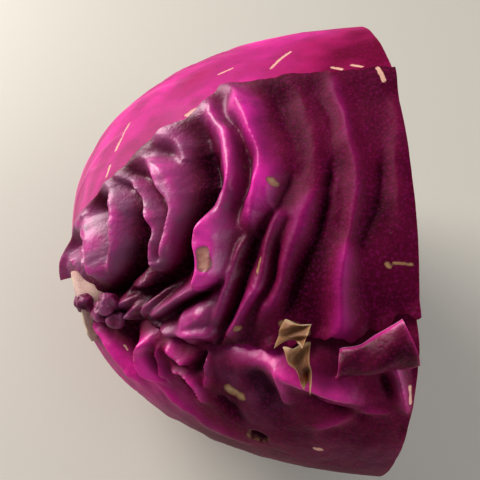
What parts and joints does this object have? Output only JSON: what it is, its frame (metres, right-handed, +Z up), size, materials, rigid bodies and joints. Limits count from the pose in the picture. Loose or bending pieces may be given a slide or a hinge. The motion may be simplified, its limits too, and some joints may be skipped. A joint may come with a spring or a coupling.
{
  "type": "red cabbage half",
  "caption": "Stem end of a red cabbage head, cut across its leaves and lying on its round side, with the packed leaves showing on the flat cut face.",
  "frame": {"origin": "middle of the small flat spot that the head rests on, on the table", "axes": "+X out of the knife cut, with the stem towards -X; +Z up; +Y to the side of the smooth leaf, away from the pleated one"},
  "size_m": [0.0953, 0.1538, 0.1215],
  "materials": {
    "dark_leaf": "wrinkled dark maroon leaf with a greyish waxy bloom",
    "bright_leaf": "smooth magenta leaf with a soft waxy sheen",
    "rosy_leaf": "magenta to maroon leaf with a soft sheen",
    "packed_leaf": "purple leaf skin, white flesh where it is cut",
    "stem_flesh": "cream, fibrous, matte",
    "dry_leaf": "dried, papery, golden brown"
  },
  "bodies": {
    "root": {"pleated_wrapper_leaf": "dark_leaf", "smooth_wrapper_leaf": "bright_leaf", "lower_wrapper_leaf": "rosy_leaf", "packed_leaf_01": "packed_leaf", "packed_leaf_02": "packed_leaf", "packed_leaf_03": "packed_leaf", "packed_leaf_04": "packed_leaf", "packed_leaf_05": "packed_leaf", "packed_leaf_06": "packed_leaf", "packed_leaf_07": "packed_leaf", "packed_leaf_08": "packed_leaf", "packed_leaf_09": "packed_leaf", "packed_leaf_10": "packed_leaf", "packed_leaf_11": "packed_leaf", "packed_leaf_12": "packed_leaf", "packed_leaf_13": "packed_leaf", "packed_leaf_14": "packed_leaf", "folded_heart": "packed_leaf", "stem_and_core": "stem_flesh", "folded_flap": "rosy_leaf", "dried_scrap": "dry_leaf"}
  },
  "joints": []
}
